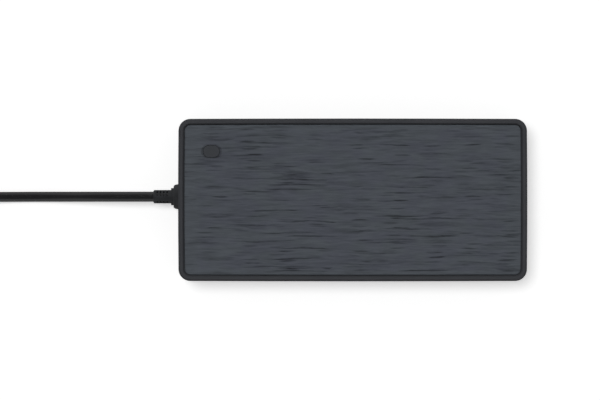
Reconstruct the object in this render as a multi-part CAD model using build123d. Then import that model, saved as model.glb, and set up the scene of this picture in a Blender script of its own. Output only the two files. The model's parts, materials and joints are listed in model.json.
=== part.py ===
from build123d import *
import math
import os

# A laptop docking station: a low desk box with a captive host cable on its left end, sockets in its front
# and rear walls, a lock slot in its right end and one power button in its top panel.
# Millimetres. The origin is on the desk under the middle of the case. +X runs along the case, away from the
# captive cable, +Y points to the rear sockets and +Z up.

# ---- case -------------------------------------------------------------------------------------------
body_length = 170.0
body_width = 79.3
body_height = 27.0  # desk to the top of the rim
corner_radius = 5.8
inner_corner_radius = 1.2  # the smallest corner left where an outline is drawn far inside the case
end_bow = 0.25  # how far the short ends swell
side_bow = 0.2  # how far the long sides swell
wall = 2.2
floor_thickness = 2.0
deck_thickness = 2.0
parting_height = 12.5  # desk to the joint between the two shells, and to the middle of the cable
top_edge_width = 1.05  # plan width of the slanted edge round the top
top_edge_depth = 1.3
bottom_edge_width = 1.4
bottom_edge_depth = 1.4
seam_chamfer = 0.25
tongue_inset = 1.15  # the joint's tongue stands on the inner part of the lower wall
tongue_height = 1.2
tongue_fit = 0.1
seat_fit = 0.05  # what is left between rigid pieces that are held against each other

# ---- top panel and its rim --------------------------------------------------------------------------
rim_width = 2.1
rim_slope = 0.8  # plan width of the rim's inner slope
rim_slope_depth = 1.2
panel_gap = 0.15
panel_sink = 0.4  # the panel's face lies this far under the rim
panel_thickness = 1.3
panel_bevel = 0.35
adhesive_thickness = 0.2
adhesive_margin = 4.0
deck_rib_width = 1.2
deck_rib_depth = 1.6
deck_rib_count = 4
deck_rib_pitch = 10.0
deck_rib_end = 30.0  # case's end to the ribs' ends

# ---- feet and case screws ---------------------------------------------------------------------------
foot_height = 1.2
foot_radius = 5.0
foot_inset = 0.8
foot_gap = 0.1
foot_edge = 0.4
corner_post_inset_x = 8.5  # case's end to its corner posts
corner_post_inset_y = 8.15
corner_post_radius = 3.4
case_screw_radius = 1.25
case_screw_length = 14.0
case_screw_head_radius = 2.3
case_screw_head_height = 1.5
case_screw_seat = 1.8  # depth of the head's counterbore above the foot's recess
screw_fit = 0.05
screw_clearance = 0.15
socket_depth = 0.7  # the drive recess in every screw head
socket_share = 0.5  # that recess's width as a share of its head

# ---- underside vents --------------------------------------------------------------------------------
vent_count = 10
vent_pitch = 6.5
vent_width = 2.0
vent_corner = 0.6
vent_length = 22.0
vent_centre_x = 8.0

# ---- main board -------------------------------------------------------------------------------------
board_end_gap = 9.8  # case wall to the board's end
board_side_gap = 1.45
board_thickness = 1.6
board_gap = 2.2  # case floor to the board's underside
board_notch_length = 4.5  # the board's corners are cut out around the corner posts
board_notch_gap = 0.6
board_post_inset_x = 12.0  # board's end to its posts
board_post_inset_y = 14.0
board_post_radius = 2.6
board_screw_radius = 0.95
board_screw_length = 3.4
board_screw_head_radius = 1.9
board_screw_head_height = 1.2
board_pilot_floor = 0.2

# ---- port plates ------------------------------------------------------------------------------------
plate_recess = 0.4
plate_flange = 1.0
plate_flange_margin = 2.5
plate_fit = 0.1
window_margin = 1.3  # window past its tallest socket, and under the sockets
window_side = 3.0  # window past its outermost sockets
port_gap = 0.25
port_inset = 0.1  # socket mouths behind the plate's face
sheet = 0.3  # wall of the pressed socket shells
insert_fit = 0.05

# ---- sockets, by their places along the case --------------------------------------------------------
dc_jack_x = -52.0
hdmi_x = (-33.0, -14.0)
ethernet_x = 8.0
usb_a_rear_x = (29.0, 47.0)
audio_x = 14.0
usb_c_x = 29.0
usb_a_front_x = 46.0
led_x = 61.0

usb_a_width = 13.1
usb_a_height = 5.72
usb_a_depth = 14.0
usb_a_tongue_width = 11.1
usb_a_tongue_thickness = 1.84
usb_a_tongue_length = 8.8
usb_a_tongue_drop = 0.7  # shell's inner top to the tongue
usb_a_contacts = (-3.5, -1.0, 1.0, 3.5)
usb_a_contact_width = 1.0
contact_thickness = 0.2
contact_setback = 0.8  # contacts start this far behind their tongue's tip

hdmi_opening_width = 14.0
hdmi_opening_height = 4.55
hdmi_corner_x = 1.5
hdmi_corner_z = 1.9
hdmi_depth = 11.5
hdmi_tongue_width = 11.2
hdmi_tongue_thickness = 1.5
hdmi_tongue_length = 7.0
hdmi_contact_count = 10
hdmi_contact_pitch = 1.0
hdmi_contact_width = 0.45

usb_c_width = 8.94
usb_c_height = 3.16
usb_c_depth = 7.3
usb_c_tongue_width = 6.69
usb_c_tongue_thickness = 0.7
usb_c_tongue_length = 4.45

ethernet_width = 16.0
ethernet_height = 13.4
ethernet_depth = 21.0
ethernet_plug_width = 11.8
ethernet_plug_height = 6.8
ethernet_plug_floor = 3.6
ethernet_latch_width = 6.2
ethernet_latch_drop = 1.7
ethernet_cavity_depth = 14.0
ethernet_contact_count = 8
ethernet_contact_pitch = 1.02
ethernet_contact_width = 0.4
ethernet_contact_length = 9.0

dc_jack_width = 9.0
dc_jack_height = 11.0
dc_jack_depth = 14.0
dc_bore_radius = 3.2
dc_bore_depth = 9.5
dc_bore_height = 6.4  # board to the bore's middle
dc_pin_radius = 1.25
dc_pin_setback = 0.8
dc_pin_tail_radius = 0.9
dc_pin_tail_length = 2.0

audio_width = 6.4
audio_height = 5.2
audio_depth = 14.0
audio_nose_radius = 2.5
audio_bore_radius = 1.8
audio_bore_depth = 12.0

# ---- status light -----------------------------------------------------------------------------------
pipe_radius = 1.0
pipe_height = 1.7  # board to the pipe's middle
pipe_collar_radius = 1.5
pipe_collar_length = 0.9
led_width = 3.2
led_depth = 1.6
led_height = 3.0

# ---- lock slot in the right end ---------------------------------------------------------------------
lock_slot_length = 7.0
lock_slot_height = 3.0
lock_slot_y = -12.0
lock_slot_rise = 3.6  # case floor's top to the slot's middle
lock_plate_length = 14.0
lock_plate_height = 6.4
lock_plate_thickness = 1.2
lock_rib = 1.2
lock_rib_depth = 3.0

# ---- power button and its switch --------------------------------------------------------------------
button_inset_x = 16.2  # case's left end to the button's middle
button_inset_y = 16.05
button_length = 8.0
button_width = 5.9
button_gap = 0.15
button_sink = 0.1
button_edge = 0.12
button_travel = 0.5
button_flange = 0.9
button_flange_thickness = 0.8
button_stem_radius = 1.2
guide_wall = 1.2
guide_depth = 2.0
guide_clearance = 0.06
switch_side = 6.0
switch_height = 3.6
switch_bore_depth = 1.6
plunger_radius = 1.7
plunger_clearance = 0.05
plunger_rise = 1.4  # how far the plunger stands out of its housing
plunger_reserve = 0.1

# ---- parts on the board -----------------------------------------------------------------------------
display_chip_at = (-22.0, 6.0)
display_chip_side = 14.0
display_chip_height = 1.2
pad_side = 13.0
pad_thickness = 0.5
sink_side = 25.0
sink_base = 1.6
sink_fin_count = 8
sink_fin_width = 1.1
sink_fin_height = 4.6
hub_chip_at = (28.0, -4.0)
hub_chip_side = 9.0
ethernet_chip_side = 6.0
ethernet_chip_gap = 3.9  # transformer to chip
small_chip_height = 0.9
chip_bevel = 0.2
transformer_size = (15.0, 7.2, 5.4)
transformer_gap = 2.85  # network socket to transformer
capacitor_places = [(-42.0, 18.0), (-42.0, 10.9), (-42.0, -12.0), (46.0, 8.0)]
capacitor_radius = 3.1
capacitor_height = 5.8
capacitor_base = 6.6
capacitor_base_height = 0.8
inductor_places = [(-33.0, -18.0), (-22.0, -18.0), (46.0, -8.0)]
inductor_side = 6.8
inductor_height = 3.0
inductor_corner = 1.2
crystal_places = [(19.0, 5.0), (19.0, -9.0)]
crystal_size = (3.2, 2.5, 0.8)

# ---- captive host cable -----------------------------------------------------------------------------
cable_diameter = 5.0
cable_y = 1.6
bore_fit = 0.05
gland_bell_radius = 6.35
gland_bell_nose_radius = 5.85
gland_bell_length = 2.75
gland_bell_edge = 0.5
gland_collar_radius = 4.25
gland_collar_length = 1.25
gland_sleeve_radius = 3.3
gland_sleeve_length = 8.7
gland_neck_radius = 4.5
gland_flange_radius = 6.0
gland_flange_thickness = 1.8
gland_tip_edge = 0.3
gland_slot_count = 4
gland_slot_pitch = 1.6
gland_slot_width = 0.7
gland_slot_chord = 2.6
gland_slot_turn = 59.0  # from straight up to the first row of slots, in degrees
gland_slot_floor = 2.2  # cable axis to the bottom of a slot
clamp_inset = 8.0  # case's left end to the clamp's middle
clamp_length = 5.0
clamp_width = 18.0
clamp_split = 0.6
clamp_bar_height = 4.6
clamp_screw_y = 6.2
clamp_screw_radius = 0.95
clamp_screw_length = 9.0
clamp_screw_head_radius = 1.9
clamp_screw_head_height = 1.2
header_length = 9.0
header_width = 10.4
header_height = 5.6
lead_start = 6.0  # clamp's middle to where the cable's inner end turns down
lead_drop_length = 8.0
lead_entry = 7.0  # from there level into the header

# The cable's way from its gland to its coil: it sinks to the desk, then rises over the coil's turns.
run_points = [
    (-109.0, 1.6, 12.5),
    (-126.0, 1.6, 10.4),
    (-143.0, 1.6, 5.0),
    (-158.0, 1.6, 2.5),
    (-172.0, 1.5, 3.5),
    (-185.5, 1.5, 8.0),
    (-199.0, 1.6, 8.2),
    (-209.0, 1.7, 7.2),
]
bend_share = 0.45  # part of the shorter run that a bend may take up

coil_centre = (-218.0, -20.4)
coil_first_radius = 22.0
coil_pitch = 5.2
coil_turns = 3
coil_entry_rise = 2.6
coil_settle = 60.0  # degrees in which the first turn comes down to the desk
coil_edge = 1.4
tail_points = [
    (-226.2, 18.3, 3.25),
    (-234.0, 18.3, 3.25),
]
plug_body_length = 17.0
plug_body_width = 11.6
plug_body_height = 6.5
plug_corner_radius = 2.6
plug_edge = 0.6
plug_relief_length = 6.0
plug_relief_radius = 3.1
plug_relief_tip_radius = 2.9
plug_shell_width = 8.25
plug_shell_height = 2.4
plug_shell_length = 6.65
plug_shell_wall = 0.3
plug_slot_width = 6.9
plug_slot_height = 0.8
plug_slot_depth = 5.4

# ---- heights that follow ----------------------------------------------------------------------------
case_bottom = foot_height
floor_top = case_bottom + floor_thickness
board_bottom = floor_top + board_gap
board_top = board_bottom + board_thickness
panel_top = body_height - panel_sink
panel_bottom = panel_top - panel_thickness
deck_top = panel_bottom - adhesive_thickness
deck_underside = deck_top - deck_thickness
panel_inset = rim_width + rim_slope + panel_gap
mouth_y = body_width / 2 - side_bow - plate_recess - port_inset
window_low = board_top - window_margin
cable_radius = cable_diameter / 2
cable_z = parting_height
gland_tip_x = -body_length / 2 - gland_bell_length - gland_collar_length - gland_sleeve_length
corner_post_x = body_length / 2 - corner_post_inset_x
corner_post_y = body_width / 2 - corner_post_inset_y
corner_posts = [(x, y) for x in (-corner_post_x, corner_post_x) for y in (-corner_post_y, corner_post_y)]
board_length = body_length - 2 * (wall + board_end_gap)
board_width = body_width - 2 * (wall + board_side_gap)
board_notch_width = board_width / 2 - corner_post_y + corner_post_radius + board_notch_gap
board_post_x = board_length / 2 - board_post_inset_x
board_post_y = board_width / 2 - board_post_inset_y
board_posts = [(x, y) for x in (-board_post_x, board_post_x) for y in (-board_post_y, board_post_y)]
button_x = button_inset_x - body_length / 2
button_y = body_width / 2 - button_inset_y
clamp_x = clamp_inset - body_length / 2
lead_drop_start = clamp_x + lead_start
header_x = lead_drop_start + lead_drop_length + lead_entry  # the header's face, which the cable enters
transformer_at = (ethernet_x, mouth_y - ethernet_depth - transformer_gap - transformer_size[1] / 2)
ethernet_chip_y = transformer_at[1] - transformer_size[1] / 2 - ethernet_chip_gap - ethernet_chip_side / 2
past = 1.0  # how far a cutting shape runs past what it cuts


# ---- helpers ----------------------------------------------------------------------------------------
def block(x, y, z):
    """A box from low to high along each axis."""
    size = [high - low for low, high in (x, y, z)]
    middle = [(low + high) / 2 for low, high in (x, y, z)]
    return Pos(*middle) * Box(*size)


def centred(width):
    """The span of that width about zero."""
    return (-width / 2, width / 2)


def prism(sketch, low, high):
    """A flat sketch raised from one height to another."""
    return extrude(Pos(0, 0, low) * sketch, high - low, dir=(0, 0, 1))


def inward(profile, near, far):
    """A socket's profile, drawn across and up, run from one depth behind the mouth to another."""
    return Pos(0, near, 0) * extrude(Plane.XZ * profile, far - near, dir=(0, 1, 0))


def rod(radius, low, high, at=(0, 0)):
    """An upright round bar."""
    return prism(Pos(*at) * Circle(radius), low, high)


def outline(inset=0.0):
    """The case's plan, drawn in from its outer edge: four bowed sides and four round corners."""
    half_x = body_length / 2 - inset
    half_y = body_width / 2 - inset
    corner_x = half_x - end_bow
    corner_y = half_y - side_bow
    sides = [
        ThreePointArc((-corner_x, -corner_y), (0, -half_y), (corner_x, -corner_y)),
        ThreePointArc((corner_x, -corner_y), (half_x, 0), (corner_x, corner_y)),
        ThreePointArc((corner_x, corner_y), (0, half_y), (-corner_x, corner_y)),
        ThreePointArc((-corner_x, corner_y), (-half_x, 0), (-corner_x, -corner_y)),
    ]
    face = make_face(sides)
    return fillet(face.vertices(), max(corner_radius - inset, inner_corner_radius))


def tapered(foot_inset, head_inset, low, high):
    """A solid whose plan goes evenly from one inset at its foot to another at its head."""
    return loft([Pos(0, 0, low) * outline(foot_inset), Pos(0, 0, high) * outline(head_inset)], ruled=True)


def ring(outer_inset, inner_inset, low, high):
    """The wall between two outlines of the case."""
    return prism(outline(outer_inset), low, high) - prism(outline(inner_inset), low - past, high + past)


def screw(radius, length, head_radius, head_height):
    """A screw with its head's underside at the origin, its shank pointing down."""
    body = rod(radius, -length, 0) + rod(head_radius, 0, head_height)
    recess = RegularPolygon(head_radius * socket_share, 6)
    return body - prism(recess, head_height - socket_depth, head_height + past)


def seat(rear, x):
    """Where a socket stands: its mouth at a port plate, its foot on the board."""
    if rear:
        return Pos(x, mouth_y, board_top) * Rot(0, 0, 180)
    return Pos(x, -mouth_y, board_top)


# ---- sockets, each drawn with its mouth at y = 0 and its foot at z = 0 -------------------------------
def upright_rectangle(width, low, high):
    return Pos(0, (low + high) / 2) * Rectangle(width, high - low)


def contact_row(places, width, length, surface, setback=contact_setback):
    """Thin strips on the underside of a tongue or roof."""
    strips = []
    for place in places:
        across = (place - width / 2, place + width / 2)
        strips.append(block(across, (setback, setback + length), (surface - contact_thickness, surface)))
    return Part() + strips


def usb_a_profile(grow=0.0):
    return upright_rectangle(usb_a_width + 2 * grow, -grow, usb_a_height + grow)


def usb_a_socket():
    shell = inward(usb_a_profile(), 0, usb_a_depth)
    shell -= inward(usb_a_profile(-sheet), -past, usb_a_depth - sheet)
    base_start = contact_setback + usb_a_tongue_length
    tongue_top = usb_a_height - sheet - usb_a_tongue_drop
    tongue_low = tongue_top - usb_a_tongue_thickness
    plate = block(
        centred(usb_a_tongue_width),
        (contact_setback, base_start + insert_fit),
        (tongue_low, tongue_top),
    )
    base = inward(usb_a_profile(-sheet - insert_fit), base_start, usb_a_depth - sheet - insert_fit)
    strip_length = usb_a_tongue_length - contact_setback
    strips = contact_row(usb_a_contacts, usb_a_contact_width, strip_length, tongue_low, 2 * contact_setback)
    return {"shell": shell, "tongue": base + plate, "contacts": strips}


def hdmi_profile(grow=0.0):
    """The socket's opening: a wide slot with its two lower corners cut off."""
    half = hdmi_opening_width / 2
    low = sheet
    top = sheet + hdmi_opening_height
    shape = Polygon(
        (-half, top),
        (-half, low + hdmi_corner_z),
        (-half + hdmi_corner_x, low),
        (half - hdmi_corner_x, low),
        (half, low + hdmi_corner_z),
        (half, top),
        align=None,
    )
    return offset(shape, grow, kind=Kind.INTERSECTION) if grow else shape


def hdmi_socket():
    shell = inward(hdmi_profile(sheet), 0, hdmi_depth) - inward(hdmi_profile(), -past, hdmi_depth - sheet)
    base_start = contact_setback + hdmi_tongue_length
    middle = sheet + hdmi_opening_height / 2
    tongue_low = middle - hdmi_tongue_thickness / 2
    plate = block(
        centred(hdmi_tongue_width),
        (contact_setback, base_start + insert_fit),
        (tongue_low, tongue_low + hdmi_tongue_thickness),
    )
    base = inward(hdmi_profile(-insert_fit), base_start, hdmi_depth - sheet - insert_fit)
    first = -(hdmi_contact_count - 1) * hdmi_contact_pitch / 2
    places = [first + i * hdmi_contact_pitch for i in range(hdmi_contact_count)]
    strips = contact_row(
        places, hdmi_contact_width, hdmi_tongue_length - contact_setback, tongue_low, 2 * contact_setback
    )
    return {"shell": shell, "tongue": base + plate, "contacts": strips}


def usb_c_profile(grow=0.0):
    slot = SlotOverall(usb_c_width + 2 * grow, usb_c_height + 2 * grow)
    return Pos(0, usb_c_height / 2) * slot


def usb_c_socket():
    shell = inward(usb_c_profile(), 0, usb_c_depth)
    shell -= inward(usb_c_profile(-sheet), -past, usb_c_depth - sheet)
    base_start = contact_setback + usb_c_tongue_length
    middle = usb_c_height / 2
    plate = block(
        centred(usb_c_tongue_width),
        (contact_setback, base_start + insert_fit),
        (middle - usb_c_tongue_thickness / 2, middle + usb_c_tongue_thickness / 2),
    )
    base = inward(usb_c_profile(-sheet - insert_fit), base_start, usb_c_depth - sheet - insert_fit)
    return {"shell": shell, "tongue": base + plate}


def ethernet_profile(grow=0.0):
    return upright_rectangle(ethernet_width + 2 * grow, -grow, ethernet_height + grow)


def ethernet_socket():
    shell = inward(ethernet_profile(), 0, ethernet_depth)
    shell -= inward(ethernet_profile(-sheet), -past, ethernet_depth - sheet)
    plug_top = ethernet_plug_floor + ethernet_plug_height
    cavity = upright_rectangle(ethernet_plug_width, ethernet_plug_floor, plug_top)
    latch_floor = ethernet_plug_floor - ethernet_latch_drop
    cavity += upright_rectangle(ethernet_latch_width, latch_floor, plug_top)
    insert = inward(ethernet_profile(-sheet - insert_fit), insert_fit, ethernet_depth - sheet - insert_fit)
    insert -= inward(cavity, -past, ethernet_cavity_depth)
    first = -(ethernet_contact_count - 1) * ethernet_contact_pitch / 2
    places = [first + i * ethernet_contact_pitch for i in range(ethernet_contact_count)]
    start = 3 * contact_setback
    strips = contact_row(places, ethernet_contact_width, ethernet_contact_length, plug_top, start)
    return {"shell": shell, "insert": insert, "contacts": strips}


def dc_jack_profile(grow=0.0):
    return upright_rectangle(dc_jack_width + 2 * grow, -grow, dc_jack_height + grow)


def dc_jack():
    housing = inward(dc_jack_profile(), 0, dc_jack_depth)
    at_bore = Pos(0, dc_bore_height)
    housing -= inward(at_bore * Circle(dc_bore_radius), -past, dc_bore_depth)
    tail_end = dc_bore_depth + dc_pin_tail_length
    housing -= inward(at_bore * Circle(dc_pin_tail_radius + insert_fit), dc_bore_depth - past, tail_end)
    pin = inward(at_bore * Circle(dc_pin_radius), dc_pin_setback, dc_bore_depth - insert_fit)
    pin += inward(at_bore * Circle(dc_pin_tail_radius), dc_bore_depth - past, tail_end)
    return {"housing": housing, "pin": pin}


def audio_profile(grow=0.0):
    return Pos(0, audio_height / 2) * Circle(audio_nose_radius + grow)


def audio_jack():
    nose_length = mouth_y - board_width / 2 + seat_fit
    body = inward(audio_profile(), 0, nose_length + past)
    body += inward(upright_rectangle(audio_width, 0, audio_height), nose_length, audio_depth)
    return body - inward(Pos(0, audio_height / 2) * Circle(audio_bore_radius), -past, audio_bore_depth)


def pipe_profile(grow=0.0):
    return Pos(0, pipe_height) * Circle(pipe_radius + grow)


def light_pipe():
    """A clear rod through the front plate, with a collar behind it, that ends at the status light."""
    length = mouth_y - board_width / 2 + insert_fit
    collar_start = port_inset + wall + plate_fit + plate_flange - plate_recess + seat_fit
    collar = Pos(0, pipe_height) * Circle(pipe_collar_radius)
    collar = inward(collar, collar_start, collar_start + pipe_collar_length)
    return inward(pipe_profile(), 0, length + pipe_collar_length) + collar


def status_led():
    start = mouth_y - board_width / 2 + pipe_collar_length + 2 * insert_fit
    return block(centred(led_width), (start, start + led_depth), (0, led_height))


rear_ports = [(dc_jack_x, dc_jack_profile), (ethernet_x, ethernet_profile)]
rear_ports += [(x, lambda grow: hdmi_profile(sheet + grow)) for x in hdmi_x]
rear_ports += [(x, usb_a_profile) for x in usb_a_rear_x]
front_ports = [(audio_x, audio_profile), (usb_c_x, usb_c_profile), (usb_a_front_x, usb_a_profile)]
front_ports += [(led_x, pipe_profile)]

rear_window_x = (
    dc_jack_x - dc_jack_width / 2 - window_side,
    usb_a_rear_x[-1] + usb_a_width / 2 + window_side,
)
rear_window_z = (window_low, board_top + ethernet_height + window_margin)
front_window_x = (audio_x - audio_width / 2 - window_side, led_x + led_width / 2 + window_side)
front_window_z = (window_low, board_top + usb_a_height + window_margin)


def grown(pair, amount):
    return (pair[0] - amount, pair[1] + amount)


def side_span(rear, depth):
    """From outside a long wall to that depth behind its outer face."""
    outside = body_width / 2 + past
    inside = body_width / 2 - depth
    return (inside, outside) if rear else (-outside, -inside)


def window(rear):
    x, z = (rear_window_x, rear_window_z) if rear else (front_window_x, front_window_z)
    return block(x, side_span(rear, wall + side_bow + past), z)


def gland_seat():
    hole = Cylinder(gland_neck_radius + seat_fit, 2 * (wall + past), rotation=(0, 90, 0))
    return Pos(-body_length / 2, cable_y, cable_z) * hole


def lock_slot():
    slot = extrude(Plane.YZ * SlotOverall(lock_slot_length, lock_slot_height), 2 * (wall + past), both=True)
    return Pos(body_length / 2, lock_slot_y, floor_top + lock_slot_rise) * slot


# ---- case shells ------------------------------------------------------------------------------------
def corner_post():
    """The tube around a case screw, with its head's counterbore below."""
    return rod(corner_post_radius, floor_top - past, parting_height)


def lock_ribs():
    """Two ribs on the floor and wall that hold the lock plate upright."""
    inner_x = body_length / 2 - wall - end_bow - lock_rib_depth
    ribs = None
    for side in (-1, 1):
        edge = lock_slot_y + side * (lock_plate_length / 2 + seat_fit)
        across = sorted((edge, edge + side * lock_rib))
        top = floor_top + lock_slot_rise + lock_plate_height / 2
        rib = block((inner_x, body_length / 2 - wall / 2 - end_bow), across, (floor_top - past, top))
        ribs = rib if ribs is None else ribs + rib
    return ribs


def clamp_saddle():
    """The lower half of the cable clamp, standing on the floor."""
    half = clamp_length / 2
    saddle = block(
        (clamp_x - half, clamp_x + half),
        (cable_y - clamp_width / 2, cable_y + clamp_width / 2),
        (floor_top - past, cable_z - clamp_split / 2),
    )
    return saddle


def clamp_screw_places():
    return [(clamp_x, cable_y + side * clamp_screw_y) for side in (-1, 1)]


def vents():
    first = vent_centre_x - (vent_count - 1) * vent_pitch / 2
    slots = [
        Pos(first + i * vent_pitch, 0) * chamfer(Rectangle(vent_width, vent_length).vertices(), vent_corner)
        for i in range(vent_count)
    ]
    return prism(Sketch() + slots, case_bottom - past, floor_top + past)


def bottom_case():
    tray = prism(outline(), case_bottom + bottom_edge_depth, parting_height)
    tray = chamfer(tray.edges().group_by(Axis.Z)[-1], seam_chamfer)
    tray += tapered(bottom_edge_width, 0, case_bottom, case_bottom + bottom_edge_depth)
    tray += prism(outline(tongue_inset), parting_height - past, parting_height + tongue_height)
    tray -= prism(outline(wall), floor_top, parting_height + tongue_height + past)
    for x, y in corner_posts:
        tray += Pos(x, y) * corner_post()
    for place in board_posts:
        tray += rod(board_post_radius, floor_top - past, board_bottom, place)
    tray += lock_ribs()
    tray += clamp_saddle()
    for x, y in corner_posts:
        tray -= rod(foot_radius + foot_gap, case_bottom - past, case_bottom + foot_inset, (x, y))
        head_seat = case_bottom + foot_inset + case_screw_seat
        tray -= rod(case_screw_head_radius + screw_clearance, case_bottom, head_seat, (x, y))
        tray -= rod(case_screw_radius + screw_clearance, case_bottom, parting_height + past, (x, y))
    for place in board_posts:
        tray -= rod(board_screw_radius + screw_fit, floor_top + board_pilot_floor, board_bottom + past, place)
    for place in clamp_screw_places():
        depth = clamp_screw_length - clamp_bar_height - clamp_split
        tray -= rod(clamp_screw_radius + screw_fit, cable_z - clamp_split / 2 - depth - past, cable_z, place)
    tray -= vents()
    tray -= window(rear=True)
    tray -= window(rear=False)
    tray -= gland_seat()
    tray -= lock_slot()
    lead_way = Cylinder(cable_radius + bore_fit, clamp_length + 2 * past, rotation=(0, 90, 0))
    return tray - Pos(clamp_x, cable_y, cable_z) * lead_way


def button_slot(grow):
    return Pos(button_x, button_y) * SlotOverall(button_length + 2 * grow, button_width + 2 * grow)


def deck_ribs():
    first = -(deck_rib_count - 1) * deck_rib_pitch / 2
    along = centred(body_length - 2 * deck_rib_end)
    ribs = None
    for i in range(deck_rib_count):
        middle = first + i * deck_rib_pitch
        across = (middle - deck_rib_width / 2, middle + deck_rib_width / 2)
        rib = block(along, across, (deck_underside - deck_rib_depth, deck_underside + past))
        ribs = rib if ribs is None else ribs + rib
    return ribs


def top_cover():
    cover = prism(outline(), parting_height, body_height - top_edge_depth)
    cover = chamfer(cover.edges().group_by(Axis.Z)[0], seam_chamfer)
    cover += tapered(0, top_edge_width, body_height - top_edge_depth, body_height)
    cover -= prism(outline(wall), parting_height - past, deck_underside)
    rebate_top = parting_height + tongue_height + tongue_fit
    cover -= prism(outline(tongue_inset - tongue_fit), parting_height - past, rebate_top)
    cover -= prism(outline(rim_width + rim_slope), deck_top, body_height + past)
    cover -= tapered(rim_width + rim_slope, rim_width, body_height - rim_slope_depth, body_height)
    for x, y in corner_posts:
        cover += rod(corner_post_radius, parting_height, deck_underside + past, (x, y))
    cover += deck_ribs()
    cover += prism(button_slot(button_gap + guide_wall), deck_underside - guide_depth, deck_underside + past)
    screw_top = case_bottom + foot_inset + case_screw_seat + case_screw_length
    for x, y in corner_posts:
        cover -= rod(case_screw_radius + screw_fit, parting_height - past, screw_top + past, (x, y))
    cover -= prism(button_slot(guide_clearance), deck_underside - guide_depth - past, deck_top + past)
    cover -= window(rear=True)
    cover -= window(rear=False)
    return cover - gland_seat()


def top_panel():
    panel = prism(outline(panel_inset), panel_bottom, panel_top)
    panel = chamfer(panel.edges().group_by(Axis.Z)[-1], panel_bevel)
    return panel - prism(button_slot(button_gap), panel_bottom - past, panel_top + past)


def panel_adhesive():
    tape = prism(outline(panel_inset + adhesive_margin), deck_top, panel_bottom)
    return tape - prism(button_slot(button_gap), deck_top - past, panel_bottom + past)


def port_plate(rear):
    """A plate that fills its window a little behind the wall's face, and a flange that grips inside."""
    x, z = (rear_window_x, rear_window_z) if rear else (front_window_x, front_window_z)
    ports = rear_ports if rear else front_ports
    flange_in = wall + plate_fit + plate_flange
    inside = side_span(rear, flange_in + side_bow + past)
    plate = ring(plate_recess, flange_in, z[0] + plate_fit, z[1] - plate_fit)
    plate &= block(grown(x, -plate_fit), inside, z)
    flange = ring(wall + plate_fit, flange_in, floor_top + seat_fit, deck_underside - deck_rib_depth)
    flange &= block(grown(x, plate_flange_margin), inside, (floor_top, deck_underside))
    plate += flange
    for place, profile in ports:
        plate -= seat(rear, place) * inward(profile(port_gap), -wall, 2 * wall + plate_flange)
    return plate


def rubber_feet():
    pad = rod(foot_radius, 0, case_bottom + foot_inset - seat_fit)
    pad = chamfer(pad.edges().group_by(Axis.Z)[0], foot_edge)
    return Part() + [Pos(x, y) * pad for x, y in corner_posts]


def case_screws():
    one = screw(case_screw_radius, case_screw_length, case_screw_head_radius, case_screw_head_height)
    one = Rot(180, 0, 0) * one
    seat_height = case_bottom + foot_inset + case_screw_seat
    return Part() + [Pos(x, y, seat_height) * one for x, y in corner_posts]


def lock_plate():
    outer = body_length / 2 - end_bow - wall - seat_fit
    middle = floor_top + lock_slot_rise
    plate = block(
        (outer - lock_plate_thickness, outer),
        (lock_slot_y - lock_plate_length / 2, lock_slot_y + lock_plate_length / 2),
        (middle - lock_plate_height / 2, middle + lock_plate_height / 2),
    )
    return plate - lock_slot()


# ---- board and what stands on it --------------------------------------------------------------------
def main_board():
    plan = Rectangle(board_length, board_width)
    for side_x in (-1, 1):
        for side_y in (-1, 1):
            corner = (side_x * board_length / 2, side_y * board_width / 2)
            plan -= Pos(*corner) * Rectangle(2 * board_notch_length, 2 * board_notch_width)
    for place in board_posts:
        plan -= Pos(*place) * Circle(board_screw_radius + screw_clearance)
    return prism(plan, board_bottom, board_top)


def board_screws():
    one = screw(board_screw_radius, board_screw_length, board_screw_head_radius, board_screw_head_height)
    return Part() + [Pos(*place, board_top) * one for place in board_posts]


def chip(at, side, height):
    body = prism(Pos(*at) * Rectangle(side, side), board_top, board_top + height)
    return chamfer(body.edges().group_by(Axis.Z)[-1], chip_bevel)


def heat_sink():
    low = board_top + display_chip_height + pad_thickness
    base = prism(Rectangle(sink_side, sink_side), low, low + sink_base)
    pitch = (sink_side - sink_fin_width) / (sink_fin_count - 1)
    fin_top = low + sink_base + sink_fin_height
    for i in range(sink_fin_count):
        left = -sink_side / 2 + i * pitch
        base += block((left, left + sink_fin_width), centred(sink_side), (low, fin_top))
    return Pos(*display_chip_at) * base


def thermal_pad():
    low = board_top + display_chip_height
    return prism(Pos(*display_chip_at) * Rectangle(pad_side, pad_side), low, low + pad_thickness)


def capacitors():
    top = board_top + capacitor_height
    can = rod(capacitor_radius, board_top + capacitor_base_height, top)
    can = chamfer(can.edges().group_by(Axis.Z)[-1], chip_bevel)
    can += prism(Rectangle(capacitor_base, capacitor_base), board_top, board_top + capacitor_base_height)
    return Part() + [Pos(*place) * can for place in capacitor_places]


def inductors():
    plan = RectangleRounded(inductor_side, inductor_side, inductor_corner)
    body = prism(plan, board_top, board_top + inductor_height)
    return Part() + [Pos(*place) * body for place in inductor_places]


def ethernet_transformer():
    length, width, height = transformer_size
    body = prism(Pos(*transformer_at) * Rectangle(length, width), board_top, board_top + height)
    return chamfer(body.edges().group_by(Axis.Z)[-1], chip_bevel)


def crystals():
    length, width, height = crystal_size
    body = prism(RectangleRounded(length, width, chip_bevel), board_top, board_top + height)
    return Part() + [Pos(*place) * body for place in crystal_places]


# ---- power button -----------------------------------------------------------------------------------
switch_top = board_top + switch_height
plunger_top = switch_top + plunger_rise


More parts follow.
